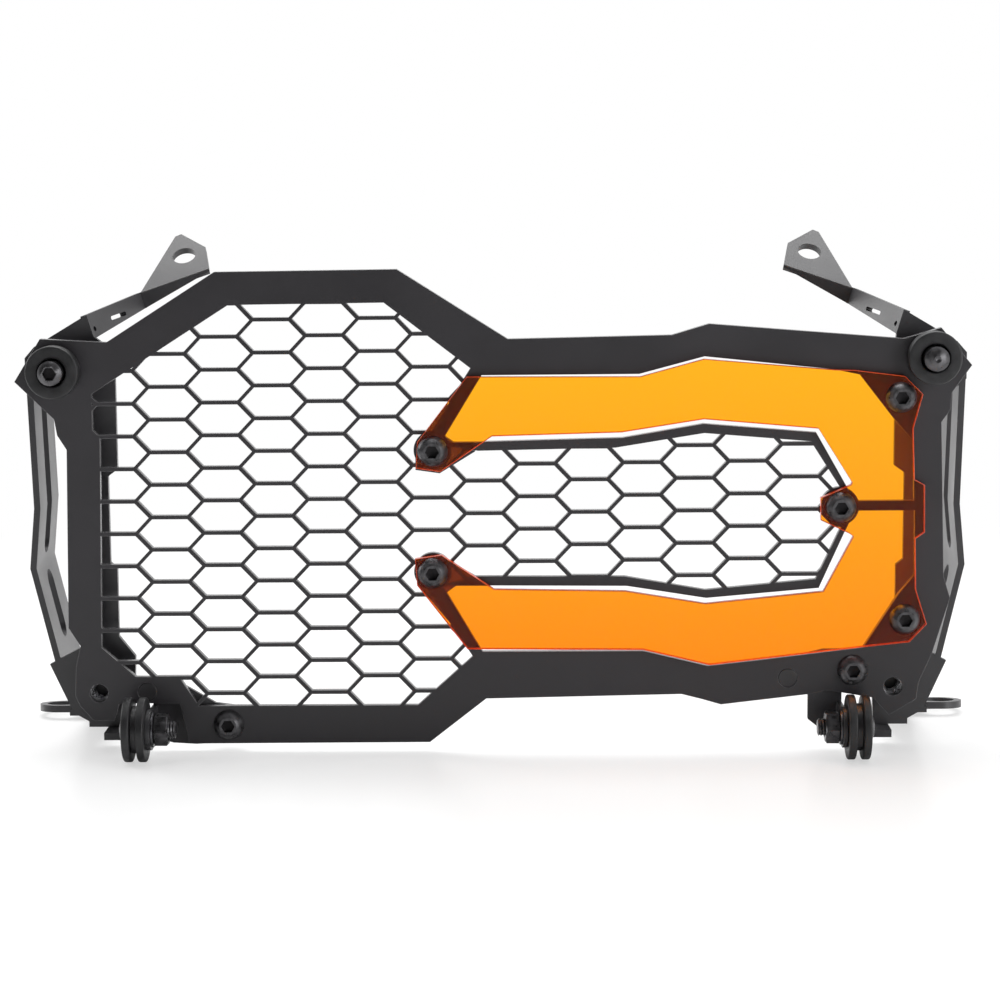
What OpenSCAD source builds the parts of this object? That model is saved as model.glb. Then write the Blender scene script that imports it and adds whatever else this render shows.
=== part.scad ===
/* [Grille sheet] */
// Thickness of the laser-cut grille sheet
grille_t = 3; // [2:0.5:4]
// Spacing of the honeycomb columns
cell_pitch_x = 17.88; // [16:0.02:20]
// Spacing of the cells in one column
cell_pitch_z = 11.16; // [10:0.02:13]
// Rise of the rows from one column to the next
row_rise = 0.14; // [0:0.02:0.3]
// Length of a cell's level edge, on its centre line
cell_flat = 12.6; // [11:0.1:14]
// Width of the bars between the cells
bar_w = 1.3; // [1:0.1:2]
// Sideways place of the column that the pattern is laid out from
cell_x0 = -93.1; // [-100:0.1:-85]
// Height of the cell that the pattern is laid out from
cell_z0 = 115.75; // [110:0.05:120]
// Radius of the round pads that the three inner lens screws go through
pad_r = 6.5; // [6:0.1:8]

/* [Lens] */
// Thickness of the amber lens plate
lens_t = 3; // [2:0.5:4]

/* [Screws and nuts] */
// Radius of the screw shanks
shank_r = 3; // [2.5:0.1:3.2]
// Radius of a button head
button_r = 5.25; // [4.8:0.05:5.8]
// Height of a button head
button_h = 3.3; // [2.8:0.1:3.8]
// Radius of the flat on top of a button head
button_top_r = 3; // [2.6:0.1:3.4]
// Width across flats of the hexagon socket
socket_af = 4; // [3:0.1:4.4]
// Depth of the hexagon socket
socket_depth = 2; // [1.5:0.1:2.5]
// Width across flats of the nuts
nut_af = 10; // [9:0.1:11]
// Thickness of the nuts
nut_t = 5; // [4:0.1:5.5]
// Length of screw that stands out past its nut
thread_out = 1.5; // [1:0.1:3]
// Clearance round a shank in a drilled sheet
hole_clear = 0.2; // [0.1:0.05:0.4]
// Clearance between a thread and its nut
thread_clear = 0.05; // [0.02:0.01:0.1]

/* [Side brackets] */
// Thickness of the bracket sheet
bracket_t = 2.5; // [2:0.1:3]
// Depth of the kinked outer band, front to back
band_depth = 35; // [30:1:45]
// Thickness of the kinked outer band
band_t = 2.2; // [1.8:0.1:2.5]
// Width of the long slots in the outer band
slot_w = 9; // [4:0.5:12]
// Radius of the hole in each upper ear
ear_hole_r = 4.2; // [3:0.1:4.5]
// Outward lean of the upper arms
arm_lean = 17; // [10:0.5:25]
// Turn of an arm towards the middle, away from straight back
arm_turn = 20.1; // [15:0.1:25]
// Turn of the hook at the arm's end towards the middle
hook_turn = 75.1; // [65:0.1:85]
// Outer radius of the lower ring tab
ring_r = 8.6; // [8:0.1:10]
// Radius of the hole in the lower ring tab
ring_hole_r = 6; // [4:0.1:6.5]
// Distance from the middle of the part to a ring tab's hole
ring_x = 160.5; // [158:0.5:164]
// Distance from the grille's front face back to a ring tab's hole
ring_y = 62; // [52:1:66]
// Height of the middle of a ring tab's underside
ring_z = 1.8; // [1:0.1:3]
// Fall of a ring tab towards its back
ring_fall = 6; // [0:0.5:8]

/* [Corner snaps] */
// Radius of a rubber corner grommet
grommet_r = 9; // [8.6:0.1:9.4]
// Thickness of a corner grommet in front of the grille
grommet_t = 6; // [4:0.5:7]
// Radius of a corner grommet's neck in the grille
neck_r = 6; // [5.8:0.1:6.5]
// Radius of a corner grommet's rear lip
lip_r = 7.6; // [7.2:0.1:8]
// Thickness of a corner grommet's rear lip
lip_t = 1.4; // [1:0.1:1.6]
// Radius of a snap stud
stud_r = 4.15; // [3.8:0.05:4.2]
// Radius of the shoulder that a snap stud's grommet rests on
shoulder_r = 7.2; // [6.8:0.1:7.5]
// Radial room round a snap stud in its grommet
stud_clear = 0.7; // [0.6:0.05:0.9]
// Length of a snap stud that shows in front of its grommet
stud_proud = 4.5; // [3:0.5:5]

/* [Foot hinges] */
// Height of the hinge axis, which is the radius of a roller
roller_r = 11; // [10:0.1:12]
// Distance of the hinge axis in front of the grille's front face
hinge_reach = 12; // [11:0.5:14]
// Distance from the middle of the part to the middle of a roller
roller_x = 122.5; // [121:0.5:126]
// Width of one rubber flange of a roller
flange_w = 2.7; // [2.4:0.1:3.2]
// Radius of the roller's core between its flanges
core_r = 5.5; // [5:0.1:6]
// Thickness of the hinge leaves
leaf_t = 1.6; // [1.5:0.1:2.2]
// Radius of a leaf's ear round the hinge axis
leaf_ear_r = 7; // [6.5:0.1:7.5]
// Radius of a bracket's ear round the hinge axis
foot_ear_r = 8; // [7.5:0.1:8.5]
// Thickness of the washer under a hinge nut
washer_t = 0.8; // [0.8:0.1:1.2]
// Radius of the washer under a hinge nut
washer_r = 6; // [5.5:0.1:6.5]
// Height of a hinge bolt's low head
hinge_head_h = 1.5; // [1.2:0.1:2]
// Running clearance of the hinges
run_clear = 0.08; // [0.04:0.01:0.1]

/* [Hidden] */
$fn = 48;
LEFT = -1;
RIGHT = 1;

black_sheet = [0.2, 0.19, 0.2];
amber = [1, 0.63, 0.08];
dark_steel = [0.16, 0.16, 0.17];
black_rubber = [0.12, 0.12, 0.12];

// Depths, counted back from the grille's front face: the bracket flats clear the lens nuts
seat_gap = 0.3;
nut_room = 0.8;
flat_y = grille_t + nut_t + thread_out + nut_room;
overlap = 1;

// The bends of the upper arm, and the arm and hook drawn in their own planes from there
arm_corner = [139.2, flat_y, 150.7];
arm_run = 40.46;
arm_rise = 1.29;
arm_outline = [
  [0, -8.6], [0, 0], [arm_run, arm_rise], [arm_run + 1.3, arm_rise], [arm_run + 1.3, -4.6],
  [arm_run, -4.6]
];
arm_slot_ends = [[16, -3.95], [25.6, -3.95]];
arm_slot_r = 0.7;
arm_hole = [2.6, -5.4];
arm_hole_r = 0.9;
hook_corner = arm_corner + [
  arm_rise * sin(arm_lean) - arm_run * sin(arm_turn) * cos(arm_lean),
  arm_run * cos(arm_turn),
  arm_rise * cos(arm_lean) + arm_run * sin(arm_turn) * sin(arm_lean)
];
hook_outline = [[-1.3, -5.9], [-1.3, 0], [0, 0], [25.9, 0.78], [25.9, -0.3], [0, -5.9]];

// The upper ear, drawn flat round its hole, with the turns that lean it
ear_hole = hook_corner + [-14.08, 13.704, 12.301];
ear_turns = [33.5, 18.2, -15.7];
ear_tip = [-2.9, 12.3];
ear_outline = [[20.2, -11.6], [-0.5, 12.1], ear_tip, [-8.4, 0.5], [-5.7, -11.6]];

// The origin is the middle of the part's box, on the ground; the ear's tip is the back
front_y = -hinge_reach - roller_r;
tip_drop = [ear_tip[0], ear_tip[1] * cos(ear_turns[0]) + bracket_t * sin(ear_turns[0])];
tip_deep = ear_tip[1] * sin(ear_turns[0]) - bracket_t * cos(ear_turns[0]);
tip_side = tip_drop[0] * cos(ear_turns[1]) + tip_deep * sin(ear_turns[1]);
back_y = ear_hole[1] + tip_side * sin(ear_turns[2]) + tip_drop[1] * cos(ear_turns[2]);
mid_y = (front_y + back_y) / 2;

// Half a cell, inside its bars
cell_half = cell_pitch_z / 2;
cell_run = cell_pitch_x - cell_flat;
cell_slant = norm([cell_run, cell_half]);
cell_tip = cell_flat / 2 + cell_run - bar_w / 2 * cell_slant / cell_half;
cell_top = cell_half - bar_w / 2;
cell_shoulder = cell_tip - cell_top * cell_run / cell_half;

grille_outline = [
  [-153.5, 143.3], [-131, 142], [-94, 165.5], [-32.5, 166], [4.7, 142.3], [60, 143.3],
  [72.5, 147], [138, 141.6], [150.5, 145.2], [161, 132.5], [154.2, 123], [154, 117.5],
  [151, 113.3], [152.5, 60.5], [154.8, 53], [149, 34], [144.5, 23.7], [143.8, 18],
  [134.5, 12.4], [129, 18.5], [113, 21.2], [107.2, 19.8], [77, 16.3], [70.5, 18.2],
  [63.5, 20], [-3.5, 18.7], [-23, 3.5], [-106, 3.3], [-109, 17.5], [-130, 17.5],
  [-131.6, 11.4], [-139, 11.6], [-143.5, 16.7], [-145, 20.2], [-144.5, 30.2],
  [-142.8, 37.7], [-146.7, 44], [-145.5, 105.5], [-148.6, 110.5], [-149.5, 116],
  [-162.6, 128.8]
];
mesh_outline = [
  [-136.5, 124.5], [-89.5, 154.35], [-37, 154.8], [-8, 132.5], [-24, 107], [-5.6, 104.4],
  [41, 105.2], [71, 110], [107, 107], [121, 85], [109, 59.7], [71.5, 56.2], [44, 61],
  [-5.6, 61.2], [-24, 58], [-8, 33.5], [-27, 16.5], [-102.5, 16.5], [-109, 26.5],
  [-124, 26.8], [-135.5, 37], [-134, 110], [-136.5, 111.5]
];
upper_window = [
  [-4.2, 130.1], [49, 130.2], [71, 136], [115, 131.3], [123.2, 129.6], [135.3, 114],
  [141.5, 107], [142, 86.7], [122, 86.7], [108.8, 110], [70.7, 113.2], [43.4, 108.6],
  [-4.9, 107.5], [-18, 107.5]
];
lower_window = [
  [-4.6, 35.1], [50.4, 35.1], [72.4, 29.8], [90.3, 31.8], [125.3, 36], [137.1, 54.5],
  [142.5, 61.2], [142.3, 83.3], [122, 83.3], [110.1, 56.7], [71.8, 53.4], [44.8, 57.7],
  [-5.3, 58.1], [-18, 58.1]
];
lens_outline = [
  [-9.2, 129.8], [49.2, 129.5], [70.7, 135.3], [114.6, 131.4], [121.4, 131.2],
  [138.2, 129.1], [144.3, 123], [141.2, 111.5], [141.8, 94.1], [145.3, 92.2],
  [145.5, 76], [142.4, 73.9], [142.8, 56.4], [146.6, 44.5], [140.8, 38.3],
  [124.9, 36.6], [72.9, 30.6], [50.3, 36], [-9.7, 36.5], [-26.7, 58.7], [-27.3, 67.8],
  [-18.3, 69.1], [-0.5, 57.2], [44, 56.4], [71.4, 51.9], [111.4, 55.9], [121.4, 74.8],
  [120, 75.8], [110.3, 80.4], [110.2, 88], [120.4, 92.4], [120.8, 93.2],
  [109.3, 111.6], [70.8, 115], [43, 110.7], [-0.8, 109.6], [-18.4, 97.6],
  [-26.7, 98.8], [-26.1, 107.8]
];
pad_places = [[-21, 104.7], [-21.3, 63], [117, 84.8]];
lens_screw_places = concat(pad_places, [[136.9, 122.1], [139, 46.3]]);
leaf_screw_places = [[-92.3, 9.9], [121.9, 28.2]];
rivet_places = [[-120.1, 21.5], [99.8, 25.5]];
insert_places = [[-136.8, 21.1], [135.8, 22.4]];
snap_places = [[-148.9, 132.3], [147.9, 135.3]];
rivet_r = 3.2;
rivet_head_t = 1.4;
insert_r = 4.4;
insert_bore_r = 2.5;
insert_len = flat_y - grille_t - seat_gap;
foot_z = 4.5;
foot_front = 0.5;
foot_end = 135.6;

// Puts a drawing of the front view upright, with its front face at depth y
module upright(y, t) {
  translate([0, y + t, 0])
    rotate([90, 0, 0])
      linear_extrude(height = t)
        children();
}

// Puts a drawing of the side view upright, from x outwards; side views are drawn as [y, z]
module sideways(x, t) {
  translate([x, 0, 0])
    rotate([90, 0, 90])
      linear_extrude(height = t)
        children();
}

// Turns what is built along +Z to point forward, at a place in the front view
module facing_front(place, y) {
  translate([place[0], y, place[1]])
    rotate([90, 0, 0])
      children();
}

// Moves the part from the grille's own frame to the middle of its box
module placed() {
  translate([0, -mid_y, 0])
    children();
}

module on_side(side) {
  mirror([side == LEFT ? 1 : 0, 0, 0])
    children();
}

module cell() {
  polygon([
    [cell_tip, 0], [cell_shoulder, cell_top], [-cell_shoulder, cell_top],
    [-cell_tip, 0], [-cell_shoulder, -cell_top], [cell_shoulder, -cell_top]
  ]);
}

module honeycomb() {
  for (column = [-3:12], row = [-10:4])
    translate([
      cell_x0 + column * cell_pitch_x,
      cell_z0 + (row + (column % 2 == 0 ? 0 : 0.5)) * cell_pitch_z + column * row_rise
    ])
      cell();
}

// The left or the right one of a pair of places
function one_of(places, side) = places[side == LEFT ? 0 : 1];

module holes(places, r) {
  for (place = places)
    translate(place)
      circle(r = r);
}

module front_grille() {
  color(black_sheet)
    placed()
      upright(0, grille_t)
        difference() {
          polygon(grille_outline);
          difference() {
            intersection() {
              polygon(mesh_outline);
              honeycomb();
            }
            holes(pad_places, pad_r);
          }
          difference() {
            union() {
              polygon(upper_window);
              polygon(lower_window);
            }
            holes(pad_places, pad_r);
          }
          holes(lens_screw_places, shank_r + hole_clear);
          holes(leaf_screw_places, shank_r + hole_clear);
          holes(rivet_places, rivet_r + hole_clear / 2);
          holes(insert_places, shank_r + hole_clear);
          holes(snap_places, neck_r + hole_clear / 2);
        }
}

module amber_lens() {
  color(amber)
    placed()
      upright(-lens_t, lens_t)
        difference() {
          polygon(lens_outline);
          holes(lens_screw_places, shank_r + hole_clear);
        }
}

// A domed head on the plane z = 0, with its hexagon socket
module button_head(r, h, top_r) {
  drop = (r * r - top_r * top_r - h * h) / (2 * h);
  difference() {
    intersection() {
      translate([0, 0, -drop])
        sphere(r = norm([r, drop]));
      cylinder(r = r, h = h);
    }
    translate([0, 0, h - socket_depth])
      cylinder(r = socket_af / sqrt(3), h = socket_depth + overlap, $fn = 6);
  }
}

// A button screw whose head sits on z = 0 and whose shank runs down from it
module button_screw(length) {
  union() {
    button_head(button_r, button_h, button_top_r);
    translate([0, 0, -length])
      cylinder(r = shank_r, h = length + button_h - socket_depth - overlap / 2);
  }
}

module hex_nut(bore_r) {
  difference() {
    cylinder(r = nut_af / sqrt(3), h = nut_t, $fn = 6);
    translate([0, 0, -overlap])
      cylinder(r = bore_r, h = nut_t + 2 * overlap);
  }
}

module lens_screws() {
  color(dark_steel)
    placed()
      for (place = lens_screw_places)
        facing_front(place, -lens_t)
          button_screw(lens_t + grille_t + nut_t + thread_out);
}

module lens_nuts() {
  color(dark_steel)
    placed()
      for (place = lens_screw_places)
        facing_front(place, grille_t + nut_t)
          hex_nut(shank_r + thread_clear);
}

module leaf_screws() {
  color(dark_steel)
    placed()
      for (place = leaf_screw_places)
        facing_front(place, 0)
          button_screw(grille_t + leaf_t + nut_t + thread_out);
}

module leaf_nuts() {
  color(dark_steel)
    placed()
      for (place = leaf_screw_places)
        facing_front(place, grille_t + leaf_t + nut_t)
          hex_nut(shank_r + thread_clear);
}

module leaf_rivets() {
  color(black_sheet)
    placed()
      for (place = rivet_places)
        facing_front(place, grille_t + leaf_t)
          union() {
            cylinder(r = rivet_r, h = grille_t + leaf_t);
            translate([0, 0, -rivet_head_t])
              cylinder(r = rivet_r + 1.3, h = rivet_head_t);
          }
}

// Front face of a bracket: the flat behind the grille, drawn for the right
module bracket_flat(side) {
  inner_top = side == LEFT ? 130 : 136.5;
  inner_mid = side == LEFT ? 133.3 : 140;
  inner_low = side == LEFT ? 125.5 : 129.5;
  snap = one_of(snap_places, side);
  difference() {
    polygon([
      [136.9, 143.2], [139.2, 150.7], [157.5, 139.8], [160.8, 136], [160.8, 127], [147.5, 116],
      [146, 112], [145.2, 50], [146.5, 44], [144.4, 35], [155.4, 29.3], [147.6, 12],
      [142.3, 9], [142.3, 7], [foot_end, 7], [foot_end, foot_z], [inner_low + 1, foot_z],
      [inner_low, 32], [inner_top + 1, 39], [inner_top + 1, 63], [inner_mid, 65],
      [inner_mid, 95], [inner_top, 97.5], [inner_top, 138]
    ]);
    translate([side * snap[0], snap[1]])
      circle(r = shank_r + hole_clear);
  }
}

// The kinked band in the front view, as its outer line and the same line one thickness in
module band_line() {
  outer = [[160.8, 136], [159.2, 84], [161.2, 63], [153.1, 28.3]];
  inner = [for (i = [len(outer) - 1 : -1 : 0]) outer[i] - [band_t, 0]];
  polygon(concat(outer, inner));
}

module band_slot(low_z, high_z) {
  slot_y = flat_y + band_depth / 2;
  translate([140, slot_y, 0])
    rotate([0, 90, 0])
      linear_extrude(height = 30)
        union() {
          translate([-high_z + slot_w / 2, -slot_w / 2])
            square([high_z - low_z - slot_w, slot_w]);
          translate([-high_z + slot_w / 2, 0])
            circle(r = slot_w / 2);
          translate([-low_z - slot_w / 2, 0])
            circle(r = slot_w / 2);
        }
}

module bracket_band() {
  difference() {
    upright(flat_y, band_depth)
      band_line();
    band_slot(66, 124);
    band_slot(36, 60);
  }
}

// A plate in the arm's leaning plane: drawn as [along, up] from a bend, turned towards the middle
module arm_plate(corner, turn) {
  translate(corner)
    rotate([0, arm_lean, 0])
      rotate([0, 0, turn])
        sideways(0, bracket_t)
          children();
}

// The arm runs back from the top of the flat, and the hook from there towards the middle
module bracket_arm() {
  union() {
    arm_plate(arm_corner, arm_turn)
      difference() {
        polygon(arm_outline);
        polygon([
          arm_slot_ends[0] + [0, arm_slot_r], arm_slot_ends[1] + [0, arm_slot_r],
          arm_slot_ends[1] - [0, arm_slot_r], arm_slot_ends[0] - [0, arm_slot_r]
        ]);
        holes(arm_slot_ends, arm_slot_r);
        translate(arm_hole)
          circle(r = arm_hole_r);
      }
    arm_plate(hook_corner, hook_turn)
      polygon(hook_outline);
  }
}

// The ear on the hook, drawn flat round its hole and then leaned
module bracket_ear() {
  translate(ear_hole)
    rotate(ear_turns)
      translate([0, 0, -bracket_t])
        linear_extrude(height = bracket_t)
          difference() {
            polygon(ear_outline);
            circle(r = ear_hole_r);
          }
}

// The floor strip drops back from the flat to the ring tab, which falls a little to the back
module bracket_ring() {
  strip_low = 137;
  strip_high = 149;
  tab_front = ring_y - ring_r;
  tab_mid = ring_z + bracket_t / 2 + ring_r * tan(ring_fall);
  union() {
    sideways(strip_low, strip_high - strip_low)
      polygon([
        [flat_y, 13], [flat_y + bracket_t, 14.5], [tab_front + 1, tab_mid + 0.9],
        [tab_front + 3, tab_mid - 0.4], [tab_front + 0.5, tab_mid - 1], [flat_y, 11]
      ]);
    translate([ring_x, ring_y, ring_z])
      rotate([-ring_fall, 0, 0])
        linear_extrude(height = bracket_t)
          difference() {
            union() {
              circle(r = ring_r);
              translate([strip_low + 1 - ring_x, -ring_r])
                square([ring_x - strip_low - 1, 2 * ring_r]);
            }
            circle(r = ring_hole_r);
          }
  }
}

// The foot: a level plate under the grille and the ear that stands in the roller's groove
module bracket_foot() {
  ear_t = 2;
  union() {
    translate([0, 0, foot_z])
      linear_extrude(height = bracket_t)
        polygon([
          [roller_x - ear_t / 2, foot_front], [foot_end, foot_front],
          [foot_end, flat_y + bracket_t], [roller_x - ear_t / 2, flat_y + bracket_t]
        ]);
    difference() {
      sideways(roller_x - ear_t / 2, ear_t)
        union() {
          translate([-hinge_reach, roller_r])
            circle(r = foot_ear_r);
          polygon([
            [-hinge_reach, roller_r - foot_ear_r], [flat_y + bracket_t, foot_z],
            [flat_y + bracket_t, foot_z + bracket_t], [-hinge_reach, roller_r + foot_ear_r]
          ]);
        }
      translate([0, -hinge_reach, roller_r])
        rotate([0, 90, 0])
          cylinder(r = core_r + run_clear, h = 2 * roller_x);
    }
  }
}

module side_bracket(side) {
  color(black_sheet)
    placed()
      on_side(side)
        union() {
          upright(flat_y, bracket_t)
            bracket_flat(side);
          bracket_band();
          bracket_arm();
          bracket_ear();
          bracket_ring();
          bracket_foot();
        }
}

module corner_grommet(side) {
  bore = stud_r + stud_clear;
  color(black_rubber)
    placed()
      facing_front(one_of(snap_places, side), grille_t + lip_t)
        difference() {
          union() {
            cylinder(r = lip_r, h = lip_t);
            cylinder(r = neck_r, h = lip_t + grille_t);
            translate([0, 0, lip_t + grille_t])
              cylinder(r = grommet_r, h = grommet_t);
          }
          translate([0, 0, -overlap])
            cylinder(r = bore, h = lip_t + grille_t + grommet_t + 2 * overlap);
          translate([0, 0, -overlap])
            cylinder(r1 = bore + 1.2, r2 = bore, h = lip_t + grille_t + overlap);
        }
}

module snap_stud(side) {
  stud_len = flat_y + grommet_t + stud_proud;
  color(dark_steel)
    placed()
      facing_front(one_of(snap_places, side), flat_y)
        union() {
          difference() {
            intersection() {
              cylinder(r = stud_r, h = stud_len);
              translate([0, 0, stud_len - 6])
                sphere(r = 6);
            }
            if (side == LEFT)
              translate([0, 0, stud_len - socket_depth])
                cylinder(r = socket_af / sqrt(3), h = socket_depth + overlap, $fn = 6);
          }
          cylinder(r = stud_r, h = stud_len - 6);
          cylinder(r = shoulder_r, h = flat_y - grille_t - lip_t - seat_gap);
          translate([0, 0, -bracket_t - nut_t - thread_out])
            cylinder(r = shank_r, h = bracket_t + nut_t + thread_out + overlap);
        }
}

module stud_nut(side) {
  color(dark_steel)
    placed()
      facing_front(one_of(snap_places, side), flat_y + bracket_t + nut_t)
        hex_nut(shank_r + thread_clear);
}

module threaded_insert(side) {
  color(dark_steel)
    placed()
      facing_front(one_of(insert_places, side), grille_t + insert_len)
        difference() {
          cylinder(r = insert_r, h = insert_len);
          translate([0, 0, -overlap])
            cylinder(r = insert_bore_r, h = insert_len + 2 * overlap);
        }
}

// Stack of a hinge, measured out from the middle of its roller towards the middle of the part
ear_slot = 1 + run_clear;
roller_in = roller_x - ear_slot - flange_w;
roller_out = roller_x + ear_slot + flange_w;
leaf_x = roller_in - run_clear - leaf_t;
washer_x = leaf_x - washer_t;
nut_x = washer_x - nut_t;

module hinge_leaf(side) {
  plate = side == LEFT
    ? [[86, 3.5], [86, 15.5], [97, 17], [112, 25.8], [125, 25.8], [127, 20],
       [leaf_x + leaf_t, 18.5], [leaf_x + leaf_t, 5], [112, 3], [104, 2.5]]
    : [[94, 20.5], [94, 30.5], [112, 35], [127, 35], [128, 24], [leaf_x + leaf_t, 21],
       [leaf_x + leaf_t, 8], [112, 6.5], [107, 10.5], [107, 20.5]];
  screw = one_of(leaf_screw_places, side);
  rivet = one_of(rivet_places, side);
  color(black_sheet)
    placed()
      on_side(side)
        difference() {
          union() {
            upright(grille_t, leaf_t)
              polygon(plate);
            sideways(leaf_x, leaf_t)
              union() {
                translate([-hinge_reach, roller_r])
                  circle(r = leaf_ear_r);
                polygon([
                  [-hinge_reach, roller_r - leaf_ear_r], [grille_t + leaf_t, 6],
                  [grille_t + leaf_t, 16.5], [-hinge_reach, roller_r + leaf_ear_r - 1]
                ]);
              }
          }
          translate([leaf_x - overlap, -hinge_reach, roller_r])
            rotate([0, 90, 0])
              cylinder(r = shank_r + run_clear, h = leaf_t + 2 * overlap);
          facing_front([side * screw[0], screw[1]], grille_t + leaf_t + overlap)
            cylinder(r = shank_r + hole_clear, h = leaf_t + 2 * overlap);
          facing_front([side * rivet[0], rivet[1]], grille_t + leaf_t + overlap)
            cylinder(r = rivet_r + hole_clear / 2, h = leaf_t + 2 * overlap);
        }
}

// Builds along +X on the hinge axis, out from the middle of the part
module on_axis(side, x) {
  placed()
    on_side(side)
      translate([x, -hinge_reach, roller_r])
        rotate([0, 90, 0])
          children();
}

module hinge_roller(side) {
  lip = 0.5;
  width = roller_out - roller_in;
  color(black_rubber)
    on_axis(side, roller_in)
      difference() {
        rotate_extrude()
          polygon([
            [0, 0], [roller_r - lip, 0], [roller_r, lip], [roller_r, flange_w - lip],
            [roller_r - lip, flange_w], [core_r, flange_w], [core_r, width - flange_w],
            [roller_r - lip, width - flange_w], [roller_r, width - flange_w + lip],
            [roller_r, width - lip], [roller_r - lip, width], [0, width]
          ]);
        translate([0, 0, -overlap])
          cylinder(r = shank_r + run_clear, h = width + 2 * overlap);
      }
}

module hinge_bolt(side) {
  head_x = roller_out + run_clear;
  length = head_x - nut_x + thread_out + 1;
  color(dark_steel)
    on_axis(side, head_x)
      union() {
        cylinder(r = button_r, h = hinge_head_h / 2);
        cylinder(r1 = button_r, r2 = button_top_r, h = hinge_head_h);
        translate([0, 0, -length])
          cylinder(r = shank_r, h = length + hinge_head_h / 2);
      }
}

module hinge_washer(side) {
  color(dark_steel)
    on_axis(side, washer_x)
      difference() {
        cylinder(r = washer_r, h = washer_t);
        translate([0, 0, -overlap])
          cylinder(r = shank_r + hole_clear, h = washer_t + 2 * overlap);
      }
}

module hinge_nut(side) {
  color(dark_steel)
    on_axis(side, nut_x)
      hex_nut(shank_r + thread_clear);
}

front_grille();
amber_lens();
lens_screws();
lens_nuts();
side_bracket(LEFT);  // side_bracket_left
side_bracket(RIGHT);  // side_bracket_right
corner_grommet(LEFT);  // corner_grommet_left
corner_grommet(RIGHT);  // corner_grommet_right
snap_stud(LEFT);  // snap_stud_left
snap_stud(RIGHT);  // snap_stud_right
stud_nut(LEFT);  // stud_nut_left
stud_nut(RIGHT);  // stud_nut_right
threaded_insert(LEFT);  // threaded_insert_left
threaded_insert(RIGHT);  // threaded_insert_right
hinge_leaf(LEFT);  // hinge_leaf_left
hinge_leaf(RIGHT);  // hinge_leaf_right
leaf_rivets();
leaf_screws();
leaf_nuts();
hinge_roller(LEFT);  // hinge_roller_left
hinge_roller(RIGHT);  // hinge_roller_right
hinge_bolt(LEFT);  // hinge_bolt_left
hinge_bolt(RIGHT);  // hinge_bolt_right
hinge_washer(LEFT);  // hinge_washer_left
hinge_washer(RIGHT);  // hinge_washer_right
hinge_nut(LEFT);  // hinge_nut_left
hinge_nut(RIGHT);  // hinge_nut_right
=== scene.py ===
# %% [markdown]
# # A folding headlight guard
# The guard is a laser-cut honeycomb sheet with an amber plate screwed to its
# front. Two bent brackets carry it: rubber rollers at its foot are its hinge,
# and studs in rubber grommets hold its top corners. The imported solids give
# every place and size; this scene gives them edges, threads and finishes.

# %% Load the frame
import math

import bmesh
import bpy
import numpy as np
from mathutils import Matrix, Vector


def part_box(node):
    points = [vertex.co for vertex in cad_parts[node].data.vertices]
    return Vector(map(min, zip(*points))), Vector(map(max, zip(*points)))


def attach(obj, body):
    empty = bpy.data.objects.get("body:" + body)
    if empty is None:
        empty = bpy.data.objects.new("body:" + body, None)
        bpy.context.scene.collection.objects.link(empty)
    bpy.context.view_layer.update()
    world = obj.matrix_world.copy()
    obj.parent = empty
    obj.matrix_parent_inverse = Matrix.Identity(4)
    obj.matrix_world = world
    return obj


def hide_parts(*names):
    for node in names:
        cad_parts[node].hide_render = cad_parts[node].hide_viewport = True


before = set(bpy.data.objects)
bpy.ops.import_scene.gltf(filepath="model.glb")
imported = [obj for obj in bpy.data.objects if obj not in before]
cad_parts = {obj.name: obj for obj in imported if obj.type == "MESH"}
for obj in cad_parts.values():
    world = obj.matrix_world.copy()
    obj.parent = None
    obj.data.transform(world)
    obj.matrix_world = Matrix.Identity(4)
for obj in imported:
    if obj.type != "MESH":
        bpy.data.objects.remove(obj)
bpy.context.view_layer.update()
MM = 0.001
GRILLE, BRACKETS = "grille", "brackets"
SIDES = {"left": -1.0, "right": 1.0}


# %% [markdown]
# ## Sizes shared with the solids
# The grille's front face is the plane that everything else is counted from, so
# it is read once from the imported node. The places of the screws are repeated
# here in millimetres.

# %% Planes and places
front_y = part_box("front_grille")[0][1] / MM
sheet_t = 3.0
lens_t = 3.0
leaf_t = 1.6
bracket_t = 2.5
nut_t = 5.0
thread_out = 1.5
shank_clear = 0.8
flat_y = front_y + sheet_t + nut_t + thread_out + shank_clear
lens_screw_places = [(-21, 104.7), (-21.3, 63), (117, 84.8), (136.9, 122.1), (139, 46.3)]
leaf_screw_places = [(-92.3, 9.9), (121.9, 28.2)]
rivet_places = [(-120.1, 21.5), (99.8, 25.5)]
insert_places = {"left": (-136.8, 21.1), "right": (135.8, 22.4)}
snap_places = {"left": (-148.9, 132.3), "right": (147.9, 135.3)}
hinge_forward = 12.0
hinge_y = front_y - hinge_forward
hinge_z = 11.0
print("front of the grille at y =", round(front_y, 2), "mm")


# %% [markdown]
# ## Finishes as node trees
# Each finish is one Principled shader fed by a few noise patterns on Object
# coordinates, which sit still on a piece when it moves. A small helper builds
# the common part: fine grain in the bump, and patches in the roughness.

# %% A helper for coated, oxidised and moulded finishes
def new_finish(name, color, roughness, metallic=0.0):
    """An empty finish with its Principled shader; returns (material, nodes, links, shader)."""
    material = bpy.data.materials.new(name)
    material.use_nodes = True
    nodes, links = material.node_tree.nodes, material.node_tree.links
    shader = nodes["Principled BSDF"]
    shader.inputs["Base Color"].default_value = (*color, 1.0)
    shader.inputs["Roughness"].default_value = roughness
    shader.inputs["Metallic"].default_value = metallic
    return material, nodes, links, shader


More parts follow.
